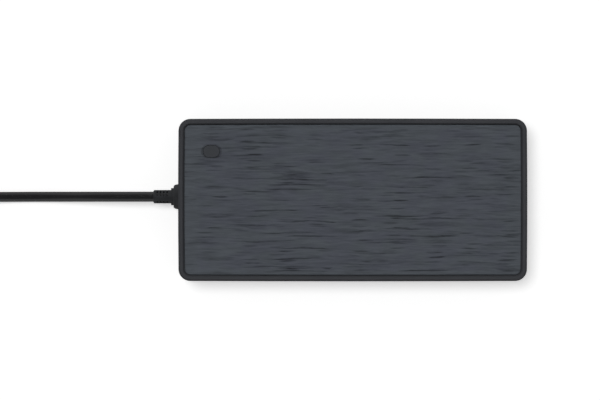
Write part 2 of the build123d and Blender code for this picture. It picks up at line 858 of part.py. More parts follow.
def power_button():
    """The cap slides in the deck's guide; its flange stops it there and its stem reaches the switch."""
    flange_top = deck_underside - guide_depth - seat_fit
    cap = prism(button_slot(0), flange_top - button_flange_thickness, panel_top - button_sink)
    cap = chamfer(cap.edges().group_by(Axis.Z)[-1], button_edge)
    cap += prism(button_slot(button_flange), flange_top - button_flange_thickness, flange_top)
    return cap + rod(button_stem_radius, plunger_top, flange_top, (button_x, button_y))


def switch_housing():
    at = Pos(button_x, button_y)
    body = prism(at * Rectangle(switch_side, switch_side), board_top, switch_top)
    body = chamfer(body.edges().filter_by(Axis.Z), button_edge)
    bore = rod(plunger_radius + plunger_clearance, switch_top - switch_bore_depth, switch_top + past)
    return body - at * bore


def switch_plunger():
    low = switch_top - switch_bore_depth + button_travel + plunger_reserve
    return rod(plunger_radius, low, plunger_top, (button_x, button_y))


# ---- captive cable ----------------------------------------------------------------------------------
def cable_gland():
    """Turned strain relief: a flange and a neck that the case holds, then a bell, a collar and a sleeve."""
    bore = cable_radius + bore_fit
    face = -body_length / 2
    neck_in = face + wall + end_bow + seat_fit
    neck_out = face - seat_fit
    flange_in = neck_in + gland_flange_thickness
    bell_out = face - gland_bell_length
    collar_out = bell_out - gland_collar_length
    profile = Polyline(
        (neck_out, gland_bell_radius),
        (bell_out + gland_bell_edge, gland_bell_nose_radius),
        (bell_out, gland_bell_nose_radius - gland_bell_edge),
        (bell_out, gland_collar_radius),
        (collar_out, gland_collar_radius),
        (collar_out, gland_sleeve_radius),
        (gland_tip_x + gland_tip_edge, gland_sleeve_radius),
        (gland_tip_x, gland_sleeve_radius - gland_tip_edge),
        (gland_tip_x, bore),
        (flange_in, bore),
        (flange_in, gland_flange_radius),
        (neck_in, gland_flange_radius),
        (neck_in, gland_neck_radius),
        (neck_out, gland_neck_radius),
        close=True,
    )
    gland = revolve(make_face(profile), Axis.X)
    middle = (gland_tip_x + collar_out) / 2
    first = middle - (gland_slot_count - 1) * gland_slot_pitch / 2
    cut = block(centred(gland_slot_width), centred(gland_slot_chord), (gland_slot_floor, gland_collar_radius))
    for i in range(gland_slot_count):
        for quarter in range(4):
            gland -= Pos(first + i * gland_slot_pitch, 0, 0) * Rot(gland_slot_turn + 90 * quarter, 0, 0) * cut
    return Pos(0, cable_y, cable_z) * gland


def bend_radii(points):
    """The largest smooth bend at each inner point of a route that its two runs leave room for."""
    radii = []
    corners = [Vector(*point) for point in points]
    for before, corner, after in zip(corners, corners[1:], corners[2:]):
        arrive = corner - before
        leave = after - corner
        turn = math.radians(arrive.get_angle(leave))
        radii.append(bend_share * min(arrive.length, leave.length) / math.tan(turn / 2))
    return radii


def cable_tube(points):
    radii = bend_radii(points)
    print("bend radii", [round(radius, 1) for radius in radii])
    path = FilletPolyline(*points, radius=radii)
    print("tube length", round(path.length, 1))
    return sweep(Plane(path @ 0, z_dir=path % 0) * Circle(cable_radius), path)


def coil_point(degrees):
    """A point of the flat spiral that the put-away cable makes, counted from where the cable comes in."""
    radius = coil_first_radius + coil_pitch * degrees / 360
    angle = math.radians(90 + degrees)
    settle = max(0.0, 1 - degrees / coil_settle)
    return (
        coil_centre[0] + radius * math.cos(angle),
        coil_centre[1] + radius * math.sin(angle),
        cable_radius + coil_entry_rise * settle**2,
    )


def cable_run():
    return cable_tube([(gland_tip_x, cable_y, cable_z)] + run_points + [coil_point(0)])


def cable_coil():
    """The outer shape of the coil's turns lying side by side on the desk."""
    middle = coil_first_radius + coil_pitch * coil_turns / 2
    band = coil_pitch * (coil_turns - 1) + cable_diameter
    section = chamfer(Rectangle(band, cable_diameter).vertices(), coil_edge)
    coil = revolve(Plane.XZ * Pos(middle, cable_radius) * section, Axis.Z)
    return Pos(*coil_centre) * coil


def cable_tail():
    return cable_tube([coil_point(360 * coil_turns)] + tail_points)


def cable_lead():
    """The cable's inner end, from the gland's tip through the clamp down to its header on the board."""
    entry_z = board_top + header_height / 2
    points = [
        (gland_tip_x, cable_y, cable_z),
        (lead_drop_start, cable_y, cable_z),
        (lead_drop_start + lead_drop_length, cable_y, entry_z),
        (header_x, cable_y, entry_z),
    ]
    return cable_tube(points)


def cable_clamp():
    half = clamp_length / 2
    low = cable_z + clamp_split / 2
    bar = block(
        (clamp_x - half, clamp_x + half),
        (cable_y - clamp_width / 2, cable_y + clamp_width / 2),
        (low, low + clamp_bar_height),
    )
    bar -= Pos(clamp_x, cable_y, cable_z) * Cylinder(
        cable_radius + bore_fit, clamp_length + 2 * past, rotation=(0, 90, 0)
    )
    for place in clamp_screw_places():
        bar -= rod(clamp_screw_radius + screw_clearance, low - past, low + clamp_bar_height + past, place)
    return bar


def clamp_screws():
    one = screw(clamp_screw_radius, clamp_screw_length, clamp_screw_head_radius, clamp_screw_head_height)
    top = cable_z + clamp_split / 2 + clamp_bar_height
    return Part() + [Pos(*place, top) * one for place in clamp_screw_places()]


def cable_header():
    body = block(
        (header_x, header_x + header_length),
        (cable_y - header_width / 2, cable_y + header_width / 2),
        (board_top, board_top + header_height),
    )
    return chamfer(body.edges().group_by(Axis.Z)[-1], chip_bevel)


# The plug is drawn along +X from its strain relief's tip and lies on the desk pointing the other way.
def plug_place():
    x, y, z = tail_points[-1]
    return Pos(x, y, z) * Rot(0, 0, 180)


def along(profile, near, far):
    """A profile across the plug, run from one distance along it to another."""
    return Pos(near, 0, 0) * extrude(Plane.YZ * profile, far - near, dir=(1, 0, 0))


def plug_overmould():
    body_end = plug_relief_length + plug_body_length
    section = RectangleRounded(plug_body_width, plug_body_height, plug_corner_radius)
    body = along(section, plug_relief_length, body_end)
    ends = body.edges().group_by(Axis.X)
    body = chamfer(ends[0] + ends[-1], plug_edge)
    relief = Cone(plug_relief_radius, plug_relief_tip_radius, plug_relief_length + past, rotation=(0, -90, 0))
    body += Pos((plug_relief_length + past) / 2, 0, 0) * relief
    return plug_place() * body


def plug_shell():
    start = plug_relief_length + plug_body_length
    outer = SlotOverall(plug_shell_width, plug_shell_height)
    inner = SlotOverall(plug_shell_width - 2 * plug_shell_wall, plug_shell_height - 2 * plug_shell_wall)
    shell = along(outer, start, start + plug_shell_length)
    return plug_place() * (shell - along(inner, start - past, start + plug_shell_length + past))


def plug_insert():
    start = plug_relief_length + plug_body_length
    shrink = 2 * (plug_shell_wall + insert_fit)
    end = start + plug_shell_length - insert_fit
    core = along(SlotOverall(plug_shell_width - shrink, plug_shell_height - shrink), start, end)
    slot = along(Rectangle(plug_slot_width, plug_slot_height), end - plug_slot_depth, end + past)
    return plug_place() * (core - slot)


# ---- the whole set ----------------------------------------------------------------------------------
def placed(prefix, pieces, place, number=""):
    """Names and places a socket's pieces."""
    ending = f"_{number}" if number else ""
    return {f"{prefix}_{name}{ending}": place * piece for name, piece in pieces.items()}


def all_parts():
    parts = {
        "bottom_case": bottom_case(),
        "top_cover": top_cover(),
        "top_panel": top_panel(),
        "panel_adhesive": panel_adhesive(),
        "front_port_plate": port_plate(rear=False),
        "rear_port_plate": port_plate(rear=True),
        "rubber_feet": rubber_feet(),
        "case_screws": case_screws(),
        "lock_plate": lock_plate(),
        "main_board": main_board(),
        "board_screws": board_screws(),
        "display_chip": chip(display_chip_at, display_chip_side, display_chip_height),
        "thermal_pad": thermal_pad(),
        "heat_sink": heat_sink(),
        "hub_chip": chip(hub_chip_at, hub_chip_side, small_chip_height),
        "ethernet_chip": chip((ethernet_x, ethernet_chip_y), ethernet_chip_side, small_chip_height),
        "ethernet_transformer": ethernet_transformer(),
        "capacitors": capacitors(),
        "inductors": inductors(),
        "crystals": crystals(),
        "power_button": power_button(),
        "switch_housing": switch_housing(),
        "switch_plunger": switch_plunger(),
        "status_led": seat(False, led_x) * status_led(),
        "light_pipe": seat(False, led_x) * light_pipe(),
        "audio_jack": seat(False, audio_x) * audio_jack(),
        "cable_gland": cable_gland(),
        "cable_run": cable_run(),
        "cable_coil": cable_coil(),
        "cable_tail": cable_tail(),
        "cable_lead": cable_lead(),
        "cable_clamp": cable_clamp(),
        "clamp_screws": clamp_screws(),
        "cable_header": cable_header(),
        "plug_overmould": plug_overmould(),
        "plug_shell": plug_shell(),
        "plug_insert": plug_insert(),
    }
    parts |= placed("dc_jack", dc_jack(), seat(True, dc_jack_x))
    parts |= placed("ethernet", ethernet_socket(), seat(True, ethernet_x))
    for number, x in enumerate(hdmi_x, start=1):
        parts |= placed("hdmi", hdmi_socket(), seat(True, x), number)
    usb_a_seats = [seat(True, x) for x in usb_a_rear_x] + [seat(False, usb_a_front_x)]
    for number, place in enumerate(usb_a_seats, start=1):
        parts |= placed("usb_a", usb_a_socket(), place, number)
    parts |= placed("usb_c", usb_c_socket(), seat(False, usb_c_x))
    return parts


os.makedirs("parts", exist_ok=True)
for node, shape in all_parts().items():
    export_step(shape, f"parts/{node}.step")
    print(node, round(shape.volume, 1))
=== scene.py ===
# %% [markdown]
# # A laptop docking station, dressed for its picture
#
# A docking station is a low plastic box that lies on a desk beside a laptop. One short cable, fixed in its
# left end, runs to the computer, and everything else plugs into sockets in its front and rear walls. The
# working parts are already modelled at their real size, and this lesson gives them their looks. It adds the
# cable that lies on the desk, the grooves under the rubber feet and the grip ribs of the plug, and it makes
# one finish for each material that such a box is built from.
#
# The first step loads the finished parts. All lengths in Blender are metres here, so a few millimetres are
# written as a number times MM.

# %% Load the parts
import json
import math

import bpy
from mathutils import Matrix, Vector


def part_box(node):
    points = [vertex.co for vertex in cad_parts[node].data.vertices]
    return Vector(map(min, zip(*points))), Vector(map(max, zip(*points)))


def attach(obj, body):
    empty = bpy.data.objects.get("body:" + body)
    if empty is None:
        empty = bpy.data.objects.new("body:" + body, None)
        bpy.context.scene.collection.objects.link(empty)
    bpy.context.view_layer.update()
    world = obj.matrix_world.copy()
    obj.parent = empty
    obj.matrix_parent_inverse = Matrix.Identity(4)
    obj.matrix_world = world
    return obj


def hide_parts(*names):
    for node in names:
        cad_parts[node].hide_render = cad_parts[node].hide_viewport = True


MM = 0.001
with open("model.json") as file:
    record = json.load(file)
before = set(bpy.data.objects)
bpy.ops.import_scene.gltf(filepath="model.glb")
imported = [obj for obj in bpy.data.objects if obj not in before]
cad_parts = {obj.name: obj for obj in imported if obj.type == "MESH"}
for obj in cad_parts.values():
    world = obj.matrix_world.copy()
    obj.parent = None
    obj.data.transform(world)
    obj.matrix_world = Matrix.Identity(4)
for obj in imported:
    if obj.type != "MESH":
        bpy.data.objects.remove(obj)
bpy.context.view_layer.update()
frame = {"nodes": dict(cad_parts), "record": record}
nodes = frame["nodes"]

# %% [markdown]
# ## The camera
#
# The box is seen from straight above, as on a product page, so its walls don't show and all of its form has
# to be read from the rim round the top panel. A long lens keeps that rim even all the way round. The camera
# stands a little left of the box's middle, which leaves room for the cable.

# %% Camera above the box
case_low, case_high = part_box("top_cover")
case_middle = (case_low + case_high) / 2
CAMERA_HEIGHT = 1.2
CAMERA_SHIFT_LEFT = 25.66 * MM
CAMERA_SHIFT_FRONT = 0.03 * MM
LENS = 144.75
SENSOR_WIDTH = 36

camera_data = bpy.data.cameras.new("camera")
camera_data.lens = LENS
camera_data.sensor_width = SENSOR_WIDTH
camera = bpy.data.objects.new("camera", camera_data)
camera.location = (case_middle.x - CAMERA_SHIFT_LEFT, case_middle.y - CAMERA_SHIFT_FRONT, CAMERA_HEIGHT)
bpy.context.scene.collection.objects.link(camera)
bpy.context.scene.camera = camera
print("camera at", [round(value, 4) for value in camera.location])

# %% [markdown]
# ## The captive cable
#
# The cable is five millimetres thick and about seventy centimetres long, and it can't be pulled out of the
# box. It leaves its strain relief level, sinks to the desk under its own weight, climbs over the turns that
# are put away in a flat coil, and ends in a plug beside them. A cable is one smooth line with a round
# section, so it is made as a NURBS curve with a bevel: the curve's points pull at the line as a hand would,
# and the line passes near them without a kink. The coil's turns are worked out by a loop, twelve points for
# each turn, and all other points are given one by one.

# %% The points of the cable's way
CABLE_DIAMETER = 5 * MM
GLAND_TIP = (-97.7, 1.6, 12.5)
RUN_POINTS = [
    (-109.0, 1.6, 12.5),
    (-126.0, 1.6, 10.4),
    (-143.0, 1.6, 5.0),
    (-158.0, 1.6, 2.5),
    (-172.0, 1.5, 3.5),
    (-185.5, 1.5, 8.0),
    (-199.0, 1.6, 8.2),
    (-209.0, 1.7, 7.2),
]
TAIL_POINTS = [(-226.2, 18.3, 3.25), (-234.0, 18.3, 3.25)]
COIL_CENTRE = (-218.0, -20.4)
COIL_FIRST_RADIUS = 22.0
COIL_PITCH = 5.2
COIL_TURNS = 3
COIL_STEPS = 12
COIL_ENTRY_RISE = 2.6
COIL_SETTLE = 60.0


def coil_point(degrees):
    """A point of the flat spiral, counted from where the cable comes in over the other turns."""
    radius = COIL_FIRST_RADIUS + COIL_PITCH * degrees / 360
    angle = math.radians(90 + degrees)
    settle = max(0.0, 1 - degrees / COIL_SETTLE)
    return (
        COIL_CENTRE[0] + radius * math.cos(angle),
        COIL_CENTRE[1] + radius * math.sin(angle),
        CABLE_DIAMETER / MM / 2 + COIL_ENTRY_RISE * settle**2,
    )


coil_points = [coil_point(360 * step / COIL_STEPS) for step in range(COIL_TURNS * COIL_STEPS + 1)]
cable_points = [GLAND_TIP] + RUN_POINTS + coil_points + TAIL_POINTS
print("cable points:", len(cable_points))

# %% The cable as one smooth curve
cable_curve = bpy.data.curves.new("host_cable", "CURVE")
cable_curve.dimensions = "3D"
cable_curve.bevel_depth = CABLE_DIAMETER / 2
cable_curve.bevel_resolution = 7
cable_curve.resolution_u = 12
cable_curve.use_fill_caps = True
spline = cable_curve.splines.new("NURBS")
spline.points.add(len(cable_points) - 1)
for point, place in zip(spline.points, cable_points):
    point.co = (*(value * MM for value in place), 1)
spline.order_u = 3
spline.use_endpoint_u = True
host_cable = bpy.data.objects.new("host_cable", cable_curve)
bpy.context.scene.collection.objects.link(host_cable)
print("cable length:", round(spline.calc_length(), 4))

# %% [markdown]
# ## Helpers for finishes
#
# Colours are chosen as they look on a screen, as sRGB hex values, but a shader works with light, so each
# one is turned to linear first. One small function adds any node, with its settings, its inputs and its
# links, so a pattern is written down in the order in which it is worked out. Two more start a material and
# close it with the one shader that nearly every finish uses.

# %% Colours
WHITE = (1, 1, 1, 1)


def linear(code):
    """The linear colour of an sRGB hex value."""
    channels = [int(code[start : start + 2], 16) / 255 for start in (1, 3, 5)]
    return (*(c / 12.92 if c <= 0.04045 else ((c + 0.055) / 1.055) ** 2.4 for c in channels), 1.0)


print("middle grey, as light:", round(linear("#808080")[0], 3))

# %% Nodes and materials
def add(tree, kind, inputs=(), **settings):
    """Adds a node. Inputs come in order or by name: values, outputs, or nodes for their first output."""
    node = tree.nodes.new(kind)
    for name, value in settings.items():
        setattr(node, name, value)
    for name, value in inputs.items() if isinstance(inputs, dict) else enumerate(inputs):
        if isinstance(value, bpy.types.Node):
            value = next(output for output in value.outputs if output.enabled)
        if isinstance(value, bpy.types.NodeSocket):
            tree.links.new(value, node.inputs[name])
        else:
            node.inputs[name].default_value = value
    return node


def start_material(name):
    """An empty material. Returns it, its node tree, and the place on the part as an output."""
    material = bpy.data.materials.new(name)
    material.use_nodes = True
    material.node_tree.nodes.clear()
    return material, material.node_tree, add(material.node_tree, "ShaderNodeTexCoord").outputs["Object"]


def close_material(tree, inputs):
    """Gives a material its shader, with the inputs that make it this finish, and its output."""
    shader = add(tree, "ShaderNodeBsdfPrincipled", inputs)
    add(tree, "ShaderNodeOutputMaterial", {"Surface": shader})


print("node and material helpers ready")

# %% [markdown]
# Every pattern gets its real size. A Mapping node counts the place on the part in cells of that size, and a
# noise then makes about one spot in each cell. Such spots can blend two close tones, or they are the height
# of a grain, which only changes the surface's direction. A Map Range node takes a value, the two ends of
# its change, and what it gives at these ends, in that order. A Mix node has inputs for every kind of value,
# and its factor and its two colours are the inputs 0, 6 and 7.

# %% Patterns of a real size
SMOOTH = {"interpolation_type": "SMOOTHSTEP"}


def cell_scale(size_mm):
    """How many cells of a size in millimetres go into a metre, each way."""
    return [1 / (side * MM) for side in size_mm]


def spots(tree, place, size_mm, detail=2.0, roughness=0.5):
    """Soft random spots of the given size, from 0 to 1."""
    cells = add(tree, "ShaderNodeMapping", {"Vector": place, "Scale": cell_scale(size_mm)})
    inputs = {"Vector": cells, "Scale": 1.0, "Detail": detail, "Roughness": roughness}
    return add(tree, "ShaderNodeTexNoise", inputs)


def two_tones(tree, pattern, start, dark, end, light):
    """A colour that goes from dark to light as the pattern rises from start to end."""
    share = add(tree, "ShaderNodeMapRange", (pattern, start, end))
    return add(tree, "ShaderNodeMix", {0: share, 6: linear(dark), 7: linear(light)}, data_type="RGBA")


def grained(tree, place, grain_mm, depth_mm, detail=2.0, roughness=0.5):
    """A shallow random grain, as small changes of the surface's direction."""
    height = spots(tree, place, (grain_mm, grain_mm, grain_mm), detail, roughness)
    return add(tree, "ShaderNodeBump", {"Height": height, "Distance": depth_mm * MM})


finishes = {}
print("cells of 2 mm in a metre:", [round(count) for count in cell_scale((2, 2, 2))])

# %% [markdown]
# ## Moulded plastics
#
# The two shells and the port plates are moulded in ABS. Their steel mould was eaten by sparks to a fine even
# grain, so the surface scatters light in all directions and shows only a faint wide sheen. The grain is
# about a third of a millimetre across, far too shallow to model, so it is a bump. A slow cloud of lighter and
# darker plastic keeps the walls from looking like paper. The button, the plug and the plastic inside the
# sockets are made the same way, in other plastics and from smoother moulds.

# %% Moulded plastics
DRIFT_MM = (18, 18, 18)


def moulded_plastic(name, dark, light, roughness, grain_mm, grain_depth_mm, specular=0.3):
    """Moulded plastic: a slow drift of tone, and the fine grain that the mould left."""
    material, tree, place = start_material(name)
    colour = two_tones(tree, spots(tree, place, DRIFT_MM), 0.3, dark, 0.7, light)
    grain = grained(tree, place, grain_mm, grain_depth_mm, detail=3, roughness=0.6)
    inputs = {"Base Color": colour, "Roughness": roughness, "Specular IOR Level": specular, "Normal": grain}
    close_material(tree, inputs)
    return material


finishes["case_plastic"] = moulded_plastic(
    "moulded_abs", "#36373a", "#393a3d", roughness=0.55, grain_mm=0.35, grain_depth_mm=0.03, specular=0.1
)
finishes["button_plastic"] = moulded_plastic(
    "satin_abs", "#37393c", "#3b3d42", roughness=0.5, grain_mm=0.5, grain_depth_mm=0.01, specular=0.15
)
finishes["switch_plastic"] = moulded_plastic(
    "moulded_nylon", "#262628", "#2c2c2f", roughness=0.55, grain_mm=0.4, grain_depth_mm=0.02
)
finishes["socket_plastic"] = moulded_plastic(
    "moulded_polyester", "#131315", "#191a1c", roughness=0.45, grain_mm=0.3, grain_depth_mm=0.015
)
finishes["plug_plastic"] = moulded_plastic(
    "moulded_soft_abs", "#222224", "#28282b", roughness=0.5, grain_mm=0.35, grain_depth_mm=0.02
)
print("moulded plastics:", len(finishes))

# %% [markdown]
# ## The top panel
#
# The panel is a thin plastic sheet that was brushed and then lacquered. Brushing drags long shallow scratches
# through the surface: most are hair-thin, and here and there several run together to a dark wisp that starts
# thin, swells and runs out again. Voronoi cells stretched along the brushing direction give exactly that,
# one wisp to each cell, because the distance to a cell's middle grows evenly to all sides and the stretch
# turns a round spot into a long lens. A lens keeps its full darkness over nearly half of its length and
# then fades. A slow noise bends all of them a little, since no brush runs quite straight, a second one sets
# where the wisps stand thick and where they are faint, and a wide cloud moves the sheet's colour between
# two close blue greys. Near the two ends, where the brush comes down and lifts off, the marks are weaker.

# %% Wisps in stretched cells
FULL_SHARE = 0.45


def wisps(tree, place, length_mm, height_mm, reach, rarity, start):
    """Long lens-shaped marks, from 0 to 1, one in each stretched cell.

    A mark's reach is its half length, in cells. A higher rarity leaves fewer strong marks.
    """
    scale = cell_scale((length_mm, height_mm, height_mm))
    vector = add(tree, "ShaderNodeMapping", {"Vector": place, "Scale": scale, "Location": start})
    inputs = {"Vector": vector, "Scale": 1.0, "Randomness": 1.0}
    cells = add(tree, "ShaderNodeTexVoronoi", inputs, voronoi_dimensions="2D", feature="F1")
    fall = (cells.outputs["Distance"], reach * FULL_SHARE, reach, 1.0, 0.0)
    near = add(tree, "ShaderNodeMapRange", fall, **SMOOTH)
    chance = add(tree, "ShaderNodeSeparateColor", {"Color": cells.outputs["Color"]}).outputs["Red"]
    strength = add(tree, "ShaderNodeMath", (chance, rarity), operation="POWER")
    return add(tree, "ShaderNodeMath", (near, strength), operation="MULTIPLY")


LONG_WISP = {"length_mm": 60, "height_mm": 1.9, "reach": 0.28, "rarity": 0.85, "start": (3.3, 11.7, 0)}
SHORT_WISP = {"length_mm": 18, "height_mm": 1.6, "reach": 0.3, "rarity": 1.6, "start": (4.6, 9.2, 0)}
BROAD_WISP = {"length_mm": 36, "height_mm": 4.5, "reach": 0.34, "rarity": 2.0, "start": (7.7, 2.4, 0)}
BROAD_SHARE = 0.55
print("longest wisp, mm:", 2 * LONG_WISP["reach"] * LONG_WISP["length_mm"])

# %% Distance from the sheet's edge
def from_middle(tree, place, node):
    """How far a place is from the middle of a part, along each axis, and half of the part's size."""
    low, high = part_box(node)
    offset = add(tree, "ShaderNodeVectorMath", (place, (low + high) / 2), operation="SUBTRACT")
    return add(tree, "ShaderNodeVectorMath", (offset,), operation="ABSOLUTE"), (high - low) / 2


def inward(tree, place, node, end_fade, side_fade):
    """0 at the outline of a flat rectangular part, and 1 once both its ends and its sides are far enough."""
    apart, half = from_middle(tree, place, node)
    to_edge = add(tree, "ShaderNodeVectorMath", (half, apart), operation="SUBTRACT")
    parts = add(tree, "ShaderNodeSeparateXYZ", (to_edge,))
    along = add(tree, "ShaderNodeMath", (parts.outputs["X"], end_fade), operation="DIVIDE")
    across = add(tree, "ShaderNodeMath", (parts.outputs["Y"], side_fade), operation="DIVIDE")
    share = add(tree, "ShaderNodeMath", (along, across), operation="MINIMUM")
    return add(tree, "ShaderNodeMapRange", (share, 0.0, 1.0, 0.0, 1.0), **SMOOTH)


END_FADE = 9 * MM
SIDE_FADE = 3 * MM
print("fade of the marks, mm:", round(END_FADE / MM), "at the ends,", round(SIDE_FADE / MM), "at the sides")

# %% [markdown]
# The button's hole is punched through the finished sheet. A punch drags the edge of a thin sheet down with
# it, so a narrow border round the hole turns away from the light. That border is not modelled: its shade is
# painted into the sheet's colour as a darker band, most at the two round ends. The band is an oval with
# straight sides, so the distance that counts is the one to a short line along its middle. The line is a
# little longer than the hole's own, which makes the band wider at the ends.
# The button's measures count the flange that keeps it in below the sheet, so that is taken off first.

# %% Painted shade round the button's hole
BUTTON_FLANGE = 0.9 * MM
HOLE_SHADE_WIDTH = 0.8 * MM
HOLE_SHADE_ENDS = 0.7 * MM
# How dark the painted shade round the button's hole is, as a share of the sheet's light.
HOLE_SHADE_DARKNESS = 0.3


def painted_hole_shade(tree, place):
    """Painted shade round the button's hole: 1 at its outline, falling to 0 across the rolled-down border."""
    apart, half = from_middle(tree, place, "power_button")
    radius = half.y - BUTTON_FLANGE
    line_end = (half.x - half.y + HOLE_SHADE_ENDS, 0, 0)
    past = add(tree, "ShaderNodeVectorMath", (apart, line_end), operation="SUBTRACT")
    past = add(tree, "ShaderNodeVectorMath", (past, (0, 0, 0)), operation="MAXIMUM")
    level = add(tree, "ShaderNodeVectorMath", (past, (1, 1, 0)), operation="MULTIPLY")
    away = add(tree, "ShaderNodeVectorMath", (level,), operation="LENGTH")
    return add(tree, "ShaderNodeMapRange", (away, radius, radius + HOLE_SHADE_WIDTH, 1.0, 0.0), **SMOOTH)


print("border of the button's hole, mm:", HOLE_SHADE_WIDTH / MM, "and at its ends", HOLE_SHADE_ENDS / MM, "more")

# %% [markdown]
# Now the sheet's marks can be put together. The hair lines set how light the base colour is, and the wisps
# take light away from it. A wisp breaks up where it crosses a light hair, is fainter where few others stand,
# and is weaker near the outline. Each of these changes is written as four numbers: where it starts and ends,
# and what it gives there.

# %% The marks of the brush
SWAY_MM = (34, 9, 9)
SWAY_HEIGHT = 3 * MM
THRONG_MM = (30, 12, 12)
HAIR_BREAKS = (0.35, 0.65, 1.0, 0.55)
THRONG_SHARE = (0.35, 0.6, 0.75, 1.0)
INNER_SHARE = (0.0, 1.0, 0.6, 1.0)


def swayed(tree, place):
    """The place, moved a little across the brushing direction by a slow noise."""
    sway = spots(tree, place, SWAY_MM, detail=4, roughness=0.6)
    sway = add(tree, "ShaderNodeMath", (sway, 0.5), operation="SUBTRACT")
    sway = add(tree, "ShaderNodeMath", (sway, SWAY_HEIGHT), operation="MULTIPLY")
    lift = add(tree, "ShaderNodeCombineXYZ", {"Y": sway})
    return add(tree, "ShaderNodeVectorMath", (place, lift), operation="ADD")


def brush_marks(tree, place, bent, hair, inner):
    """Dark wisps of three sizes, from 0 to 1, made uneven by the hair lines, the throng and the outline."""
    broad = add(tree, "ShaderNodeMath", (wisps(tree, bent, **BROAD_WISP), BROAD_SHARE), operation="MULTIPLY")
    marks = add(tree, "ShaderNodeMath", (wisps(tree, bent, **SHORT_WISP), broad), operation="MAXIMUM")
    marks = add(tree, "ShaderNodeMath", (wisps(tree, bent, **LONG_WISP), marks), operation="MAXIMUM")
    thronged = spots(tree, place, THRONG_MM)
    for pattern, change in ((hair, HAIR_BREAKS), (thronged, THRONG_SHARE), (inner, INNER_SHARE)):
        share = add(tree, "ShaderNodeMapRange", (pattern, *change), **SMOOTH)
        marks = add(tree, "ShaderNodeMath", (marks, share), operation="MULTIPLY")
    return marks


print("sway of the brush, mm:", SWAY_HEIGHT / MM)

# %% Brushed and lacquered sheet
CLOUD_MM = (12, 7, 7)
HAIR_MM = (9, 0.9, 0.9)
HAIR_LIGHT = (0.25, 0.75, 0.88, 1.15)
MARK_DARKNESS = 0.68
MARK_DEPTH = 0.015 * MM


def brushed_sheet():
    """Base colour in clouds, hair lines, dark wisps of three sizes that also dent the surface, and painted
    shade round the button's hole.
    """
    material, tree, place = start_material("brushed_lacquered_sheet")
    inner = inward(tree, place, "top_panel", END_FADE, SIDE_FADE)
    cloud = add(tree, "ShaderNodeMath", (spots(tree, place, CLOUD_MM), inner), operation="MULTIPLY")
    colour = two_tones(tree, cloud, 0.38, "#45494e", 0.6, "#44474e")
    bent = swayed(tree, place)
    hair = spots(tree, bent, HAIR_MM, detail=3, roughness=0.6)
    marks = brush_marks(tree, place, bent, hair, inner)

    light = add(tree, "ShaderNodeMapRange", (hair, *HAIR_LIGHT), **SMOOTH)
    # The wisps and the painted shade round the button's hole both take light from the base colour.
    for pattern, darkness in ((marks, MARK_DARKNESS), (painted_hole_shade(tree, place), HOLE_SHADE_DARKNESS)):
        lost = add(tree, "ShaderNodeMath", (pattern, darkness), operation="MULTIPLY")
        light = add(tree, "ShaderNodeMath", (light, lost), operation="SUBTRACT")
    shaded = add(tree, "ShaderNodeVectorMath", {0: colour, "Scale": light}, operation="SCALE")

    height = add(tree, "ShaderNodeMath", (hair, 0.5), operation="MULTIPLY")
    height = add(tree, "ShaderNodeMath", (height, marks), operation="SUBTRACT")
    bump = add(tree, "ShaderNodeBump", {"Height": height, "Distance": MARK_DEPTH})
    inputs = {"Base Color": shaded, "Roughness": 0.45, "Specular IOR Level": 0.2, "Normal": bump}
    close_material(tree, inputs)
    return material


finishes["panel_plastic"] = brushed_sheet()
print("panel finish:", finishes["panel_plastic"].name)

# %% [markdown]
# ## Rubber and cable jacket
#
# The strain relief and the feet are soft rubbers, and the cable has a smooth jacket of soft PVC. All three
# are nearly black. Rubber is dull and powdery, so it is rough, while the jacket was drawn through a die and
# shows a soft line of light along each flank.

# %% Rubbers and jacket
POWDER_MM = (2.5, 2.5, 2.5)


def rubber(name, dark, light, roughness, grain_mm, grain_depth_mm, specular):
    """Rubber, soft PVC, silicone or film: two close tones in a fine powdery drift, and a shallow grain."""
    material, tree, place = start_material(name)
    powder = spots(tree, place, POWDER_MM, detail=4, roughness=0.65)
    colour = two_tones(tree, powder, 0.35, dark, 0.65, light)
    grain = grained(tree, place, grain_mm, grain_depth_mm)
    inputs = {"Base Color": colour, "Roughness": roughness, "Specular IOR Level": specular, "Normal": grain}
    close_material(tree, inputs)
    return material


finishes["cable_jacket"] = rubber(
    "soft_pvc_jacket", "#161618", "#1a1a1c", roughness=0.25, grain_mm=0.6, grain_depth_mm=0.006, specular=1.0
)
finishes["gland_rubber"] = rubber(
    "moulded_elastomer", "#252628", "#2b2c2e", roughness=0.42, grain_mm=0.3, grain_depth_mm=0.01, specular=0.3
)
finishes["foot_rubber"] = rubber(
    "foot_rubber", "#18181a", "#202022", roughness=0.8, grain_mm=0.25, grain_depth_mm=0.02, specular=0.25
)
print("finishes so far:", len(finishes))

# %% [markdown]
# ## Metals
#
# The socket shells are pressed from thin steel and plated with nickel, the screws are zinc-plated, the heat
# sink is black anodised aluminium and the contacts are gold over nickel. A metal has no colour of its own
# below its surface, so its base colour tints the reflections, and its roughness says how it was worked: the
# press leaves faint lines along the sheet, a turned screw has none.

# %% Metals
def worked_metal(name, code, roughness, line_mm, across_mm, line_depth_mm, spread=0.08):
    """Bare or plated metal: fine lines from the tool, which also make its gloss uneven."""
    material, tree, place = start_material(name)
    lines = spots(tree, place, (across_mm, line_mm, across_mm), detail=3, roughness=0.6)
    gloss = add(tree, "ShaderNodeMapRange", (lines, 0.0, 1.0, roughness - spread, roughness + spread))
    bump = add(tree, "ShaderNodeBump", {"Height": lines, "Distance": line_depth_mm * MM})
    close_material(tree, {"Base Color": linear(code), "Metallic": 1.0, "Roughness": gloss, "Normal": bump})
    return material


